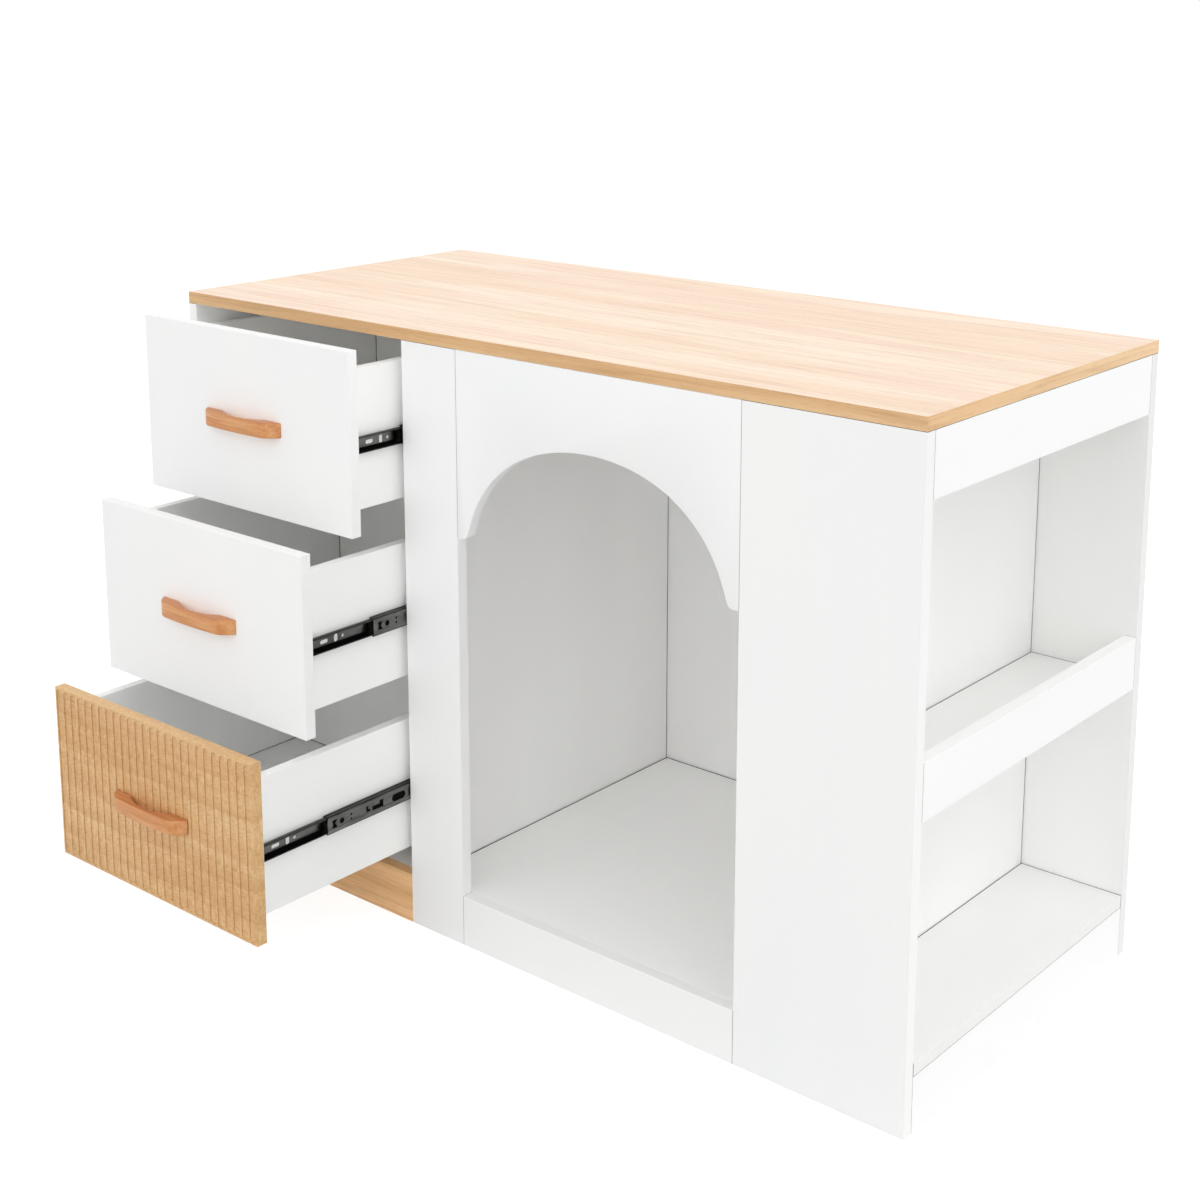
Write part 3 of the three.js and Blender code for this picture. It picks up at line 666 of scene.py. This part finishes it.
def screw(node, body):
    """A pan-head machine screw along Y, with its head at the back of the drawer's front."""
    low, high = corners(node)
    x, z = (low.x + high.x) / 2, (low.z + high.z) / 2
    seat = high.y - HEAD[-1][1] * MM
    profile = [(r, low.y + y * MM) for r, y in SHANK] + [(r, seat + y * MM) for r, y in HEAD]
    mesh = bmesh.new()
    verts = [mesh.verts.new((x + r * MM, y, z)) for r, y in profile]
    edges = [mesh.edges.new(pair) for pair in zip(verts, verts[1:])]
    bmesh.ops.spin(
        mesh,
        geom=verts + edges,
        cent=(x, 0, z),
        axis=(0, 1, 0),
        angle=2 * math.pi,
        steps=24,
        use_merge=True,
    )
    bmesh.ops.remove_doubles(mesh, verts=mesh.verts, dist=1e-6)
    finished(mesh, node + "_turned", SCREW_STEEL, body, [node], smooth=40)


# ------------------------------------------------------------------ runners

# Each member's section (mm): how far the two faces of its web and the tips of its flanges stand off the wall,
# its height, how far its flanges bow inwards, and how far its web is sunk between two raised bands
SECTIONS = {
    "cabinet": {"web": (0.05, 1.2), "tip": 9.5, "height": 35, "bow": -0.6, "sunk": 0.0},
    "middle": {"web": (1.5, 2.7), "tip": 11.0, "height": 28, "bow": 0.9, "sunk": 0.6},
    "drawer": {"web": (12.65, 11.5), "tip": 3.0, "height": 23, "bow": -0.9, "sunk": 0.0},
}
# The radius (mm) at which a flange curls off its web, the steps round that curl and along the flange, and the
# depths inside the rim between which a raised band lies
CURL, CURL_STEPS, FLANGE_STEPS, RAISED = 2.2, 6, 5, (2.0, 7.8)
# Two points of an opening that lie closer than this (mm) are one
SAME_POINT = 1e-4


def flange_section(web, thick, tip, bow):
    """A flange as (offset from the wall, depth inside the rim), mm: a curl off the web, then a bowed run."""
    sign = 1 if tip > web else -1
    inner_curl = CURL - thick
    outer, inner = [], []
    for k in range(CURL_STEPS + 1):
        turn = math.pi / 2 * k / CURL_STEPS
        gone, left = 1 - math.cos(turn), math.sin(turn)
        outer.append((web + sign * CURL * gone, CURL * (1 - left)))
        inner.append((web + sign * (thick + inner_curl * gone), CURL - inner_curl * left))
    start = web + sign * CURL
    for k in range(1, FLANGE_STEPS + 1):
        share = k / FLANGE_STEPS
        offset, dip = start + (tip - start) * share, bow * math.sin(math.pi * share)
        outer.append((offset, dip))
        inner.append((offset, thick + dip))
    return outer + inner[::-1]


def strip(mesh, wall, side, offsets, run, rise, round_over, steps=1):
    """A flat strip between two offsets (mm) from the wall, along a run of Y and over a rise of Z (m)."""
    near, far = sorted(wall - side * offset * MM for offset in offsets)
    slab(mesh, (near, run[0], min(rise)), (far, run[1], max(rise)), round_over, steps)


def channel(section, wall, side, centre, run, cuts):
    """A runner member along a run of Y: a web with its openings, and two flanges in the darker steel of
    painted shade.

    wall is the X that it stands off, side the way to it, and centre its middle height."""
    (web, web_to), sunk, half = section["web"], section["sunk"], section["height"] / 2 * MM
    thick = abs(web_to - web)
    near, far = run
    bottom, top = centre - half + CURL * MM, centre + half - CURL * MM
    mesh = bmesh.new()
    edges = []
    for loop in [[(near, bottom), (far, bottom), (far, top), (near, top)], *cuts]:
        verts = [mesh.verts.new((wall - side * (web + sunk) * MM, y, z)) for y, z in loop]
        edges += [mesh.edges.new(pair) for pair in zip(verts, verts[1:] + verts[:1])]
    filled = bmesh.ops.triangle_fill(mesh, edges=edges, use_beauty=True)["geom"]
    faces = [g for g in filled if isinstance(g, bmesh.types.BMFace)]
    thickened(mesh, faces, Vector((side * (web + sunk - web_to) * MM, 0, 0)))
    profile = flange_section(web, thick, section["tip"], section["bow"])
    for up in (-1, 1):
        rim = centre + up * half
        if sunk:
            rise = [rim - up * depth * MM for depth in RAISED]
            strip(mesh, wall, side, (web, web + sunk + 0.1), run, rise, 0.25, 2)
        verts = [mesh.verts.new((wall - side * u * MM, near, rim - up * v * MM)) for u, v in profile]
        grown = thickened(mesh, [mesh.faces.new(verts)], Vector((0, far - near, 0)))
        verts += [g for g in grown if isinstance(g, bmesh.types.BMVert)]
        # The flanges take the darker steel: painted shade
        for face in {face for vert in verts for face in vert.link_faces}:
            face.material_index = 1
    return mesh


def round_ended(y, z, length, height, steps=6):
    """A round-ended opening's outline (mm), centred on (y, z)."""
    radius = min(length, height) / 2
    reach_y, reach_z = length / 2 - radius, height / 2 - radius
    points = []
    for quarter, (way_y, way_z) in enumerate(((1, 1), (-1, 1), (-1, -1), (1, -1))):
        for k in range(steps + 1):
            turn = math.pi / 2 * (quarter + k / steps)
            across, up = radius * math.cos(turn), radius * math.sin(turn)
            point = (y + way_y * reach_y + across, z + way_z * reach_z + up)
            if not points or math.dist(point, points[-1]) > SAME_POINT:
                points.append(point)
    if math.dist(points[0], points[-1]) < SAME_POINT:
        points.pop()
    return points


def ahead(distance, outline):
    """An outline (mm) moved along Y."""
    return [(y + distance, z) for y, z in outline]


BOW_TIE = [(-4.6, -6.0), (5.0, -6.0), (1.6, 0), (5.0, 6.0), (-4.6, 6.0), (-3.4, 0)]
LATCH = [(-11, -5.4), (11, -5.4), (11, 6.2), (3.5, 6.2), (3.5, 1.2), (-11, 1.2)]
HOOK = [(-4.2, -4.4), (4.2, -4.4), (4.2, -0.8), (0.4, -0.8), (0.4, 4.6), (-4.2, 4.6)]
# The openings punched through each member's web (mm), from its front end and its middle height
OPENINGS = {
    "cabinet": [round_ended(y, 0, 10, 5) for y in (35, 225, 415)],
    "middle": [
        ahead(13, BOW_TIE),
        round_ended(27, 0.3, 8.6, 8.6),
        round_ended(45, 3.8, 4.0, 3.8, 3),
        round_ended(45, -3.2, 4.0, 3.8, 3),
        ahead(78, HOOK),
        ahead(97, LATCH),
        round_ended(139, -0.6, 27, 11.5),
    ],
    "drawer": [
        round_ended(27, 0.5, 15, 6),
        round_ended(49, 0.5, 7.4, 12),
        round_ended(62, 0.5, 5, 5, 4),
        *(round_ended(y, 0, 4, 8) for y in (220, 400)),
    ],
}
# How far (mm) each ball cage has rolled out past its middle member's front end, how far it reaches behind,
# and how far its two faces stand off the wall
CAGE_AHEAD = {"bottom": 7, "middle": 8, "top": 12}
CAGE_BEHIND, CAGE_FACES = 3, (3.2, 7.6)
# The nylon strip behind the middle member's web (mm): how far its faces stand off the wall, how far it runs
# from the member's front end, and half its height
RETAINER_FACES, RETAINER_RUN, RETAINER_HALF = (3.0, 3.6), (3.5, 156), 9
# Black strips of painted shade on the drawer member (mm), at the foot of its web and inside its lower flange,
# where the flange's shade falls: how far each strip's faces stand off the wall and how high it lies from the
# middle, and how far it stays inside the ends
FLANGE_SHADE_STRIPS = (((11.2, 11.6), (-9.4, -5.2)), ((3.1, 11.3), (-10.1, -9.2)))
FLANGE_SHADE_INSET = 0.5


def cage(mesh, level, wall, side, front, z):
    """The nylon ball cage that shows past the middle member's front end, notched round its latch."""
    back = CAGE_AHEAD[level] + CAGE_BEHIND
    plan = [(0, -9), (back, -9), (back, 9), (0, 9), (0, 4.2), (2.2, 3.0), (2.2, -2.0), (0, -3.4)]
    outline = [(front + y * MM, z + v * MM) for y, v in ahead(-CAGE_AHEAD[level], plan)]
    near, far = sorted(wall - side * offset * MM for offset in CAGE_FACES)
    eased(mesh, extruded(mesh, outline, "X", near, far), 0.4)


def runner(level, side_name, side, drawer_body, runner_body):
    """One runner: its three nested members, the black nylon that shows in them, and black strips of painted
    shade in the drawer member's lower flange.
    """
    low, high = corners(f"{level}_cabinet_member_{side_name}")
    wall, z = high.x if side > 0 else low.x, (low.z + high.z) / 2

    def member(kind, body):
        """One folded member in place of its CAD node. Returns its two ends."""
        node = f"{level}_{kind}_member_{side_name}"
        front, rear = (corner.y for corner in corners(node))
        cuts = [[(front + y * MM, z + v * MM) for y, v in outline] for outline in OPENINGS[kind]]
        mesh = channel(SECTIONS[kind], wall, side, z, (front, rear), cuts)
        finished(mesh, node + "_folded", RUNNER, body, [node], smooth=30)
        return front, rear

    member("cabinet", "cabinet")
    front, _ = member("middle", runner_body)
    # The black nylon strip behind the middle member's web, which shows through its openings; near-black and
    # matt, it is partly the real retainer and partly painted shade in the openings
    mesh = bmesh.new()
    run = [front + distance * MM for distance in RETAINER_RUN]
    rise = (z - RETAINER_HALF * MM, z + RETAINER_HALF * MM)
    strip(mesh, wall, side, RETAINER_FACES, run, rise, 0.2)
    finished(mesh, f"{level}_retainer_{side_name}", BLACK_NYLON, runner_body, ())
    mesh = bmesh.new()
    cage(mesh, level, wall, side, front, z)
    finished(mesh, f"{level}_ball_cage_{side_name}", BLACK_NYLON, runner_body, ())
    front, rear = member("drawer", drawer_body)
    # Painted shade: black strips at the foot of the drawer member's web and inside its lower flange
    mesh = bmesh.new()
    run = (front + FLANGE_SHADE_INSET * MM, rear - FLANGE_SHADE_INSET * MM)
    for offsets, depths in FLANGE_SHADE_STRIPS:
        rise = [z + depth * MM for depth in depths]
        strip(mesh, wall, side, offsets, run, rise, 0.1)
    finished(mesh, f"{level}_painted_flange_shade_{side_name}", FLANGE_SHADE, drawer_body, ())


for level in LEVELS:
    body, runner_body = f"{level}_drawer", f"{level}_runners"
    front = f"{level}_drawer_front"
    if level == "bottom":
        fluted_front(front, OAK_FRONT, body)
    else:
        board(front, WHITE, body, round_over=FRONT_EDGE)
    for side_name, side in SIDES:
        drawer_side(f"{level}_drawer_side_{side_name}", side, f"{level}_drawer_bottom", body)
    board(f"{level}_drawer_back", DRAWER_WHITE_LIT, body, BACK_GAPS, BACK_EDGE)
    board(f"{level}_drawer_bottom", DRAWER_WHITE_LIT, body, {"-Y": FRONT}, BOTTOM_EDGE)
    handle(level, body)
    for side_name, side in SIDES:
        runner(level, side_name, side, body, runner_body)
    for side_name, _ in SIDES:
        screw(f"{level}_handle_screw_{side_name}", body)

# Painted shade: the near-black strips gathered in each body's joints
for body, mesh in JOINT_SHADE_STRIPS.items():
    finished(mesh, f"{body}_joints", PAINTED_JOINT_SHADE, body, ())


# ------------------------------------------------------------------ floor, light and camera

# The floor's grey for the light that it throws back, and what the camera and reflections see: an even glow,
# with a grey that keeps a trace of the part's shadow
FLOOR_SIZE, FLOOR_GLOW = 28.0, 0.82
FLOOR_MATT, FLOOR_SEEN = (0.62, 0.62, 0.62, 1.0), (0.34, 0.34, 0.34, 1.0)
PURE_WHITE = (1.0, 1.0, 1.0, 1.0)
# The world lights the part evenly; what is still under way after four bounces stands for all the later ones
SKY, LATER_BOUNCES, FOUR_BOUNCES = 0.95, 2.75, 3.5


def studio_white():
    """The floor's material, which lights the part as matt white and is seen as nearly even white."""
    made, tree, _, _ = shader("matt white studio floor", Roughness=0.9)
    path = add(tree, "ShaderNodeLightPath").outputs
    matt = add(tree, "ShaderNodeBsdfDiffuse", {"Color": FLOOR_MATT})
    faint = add(tree, "ShaderNodeBsdfDiffuse", {"Color": FLOOR_SEEN})
    glow = add(tree, "ShaderNodeEmission", {"Color": PURE_WHITE, "Strength": FLOOR_GLOW})
    seen = add(tree, "ShaderNodeAddShader", {0: faint.outputs[0], 1: glow.outputs[0]})
    indirect = {0: path["Is Glossy Ray"], 1: path["Is Transmission Ray"]}
    mirrored = add(tree, MATH, indirect, operation="ADD")
    direct = add(tree, MATH, {0: path["Is Camera Ray"], 1: mirrored.outputs[0]}, operation="ADD")
    shades = {0: direct.outputs[0], 1: matt.outputs[0], 2: seen.outputs[0]}
    both = add(tree, "ShaderNodeMixShader", shades)
    tree.links.new(both.outputs[0], tree.nodes["Material Output"].inputs["Surface"])
    return made


def white_studio():
    """The world: even white to the camera, and to the part the soft light of a white room."""
    world = bpy.data.worlds.new("white studio")
    bpy.context.scene.world = world
    world.use_nodes = True
    tree = world.node_tree
    path = add(tree, "ShaderNodeLightPath").outputs
    late = add(tree, MATH, {0: path["Diffuse Depth"], 1: FOUR_BOUNCES}, operation="GREATER_THAN").outputs[0]
    later = {0: late, 1: SKY * LATER_BOUNCES, 2: SKY}
    strength = add(tree, MATH, later, operation="MULTIPLY_ADD").outputs[0]
    soft = add(tree, "ShaderNodeBackground", {"Color": PURE_WHITE, "Strength": strength})
    plain = add(tree, "ShaderNodeBackground", {"Color": PURE_WHITE, "Strength": 1.0})
    shades = {0: path["Is Diffuse Ray"], 1: plain.outputs[0], 2: soft.outputs[0]}
    choice = add(tree, "ShaderNodeMixShader", shades)
    tree.links.new(choice.outputs[0], tree.nodes["World Output"].inputs["Surface"])


def sun(name, strength, spread, azimuth, elevation):
    """A broad soft light from a heading (0 shines on the long front, 90 on the right end), in degrees."""
    data = bpy.data.lights.new(name, "SUN")
    data.energy = strength
    data.angle = math.radians(spread)
    made = bpy.data.objects.new(name, data)
    bpy.context.scene.collection.objects.link(made)
    a, e = math.radians(azimuth), math.radians(elevation)
    towards = Vector((math.sin(a) * math.cos(e), -math.cos(a) * math.cos(e), math.sin(e)))
    made.rotation_euler = towards.to_track_quat("Z", "Y").to_euler()


mesh = bmesh.new()
bmesh.ops.create_grid(mesh, x_segments=1, y_segments=1, size=FLOOR_SIZE / 2)
floor = finished(mesh, "studio_floor", studio_white())

white_studio()
sun("broad light on the front", strength=0.44, spread=80, azimuth=0, elevation=16)
sun("broad light from the right", strength=0.4, spread=70, azimuth=60, elevation=20)
sun("broad light on the right end", strength=0.39, spread=60, azimuth=125, elevation=30)

# Fitted to the photograph's edges: a long lens with a little downward shift
camera_data = bpy.data.cameras.new("camera")
camera = bpy.data.objects.new("camera", camera_data)
bpy.context.scene.collection.objects.link(camera)
bpy.context.scene.camera = camera
camera_data.sensor_width = 36.0
camera_data.lens = 57.559
camera_data.shift_x = -0.01552
camera_data.shift_y = -0.2
camera_data.clip_end = 100.0
heading = Matrix.Rotation(math.radians(39.869), 3, "Z")
pitch = Matrix.Rotation(math.radians(90 - 11.488), 3, "X")
roll = Matrix.Rotation(math.radians(0.105), 3, "Z")
camera.rotation_euler = (heading @ pitch @ roll).to_euler()
camera.location = (1.7637, -2.0047, 1.4106)

bpy.context.scene.view_settings.view_transform = "Standard"
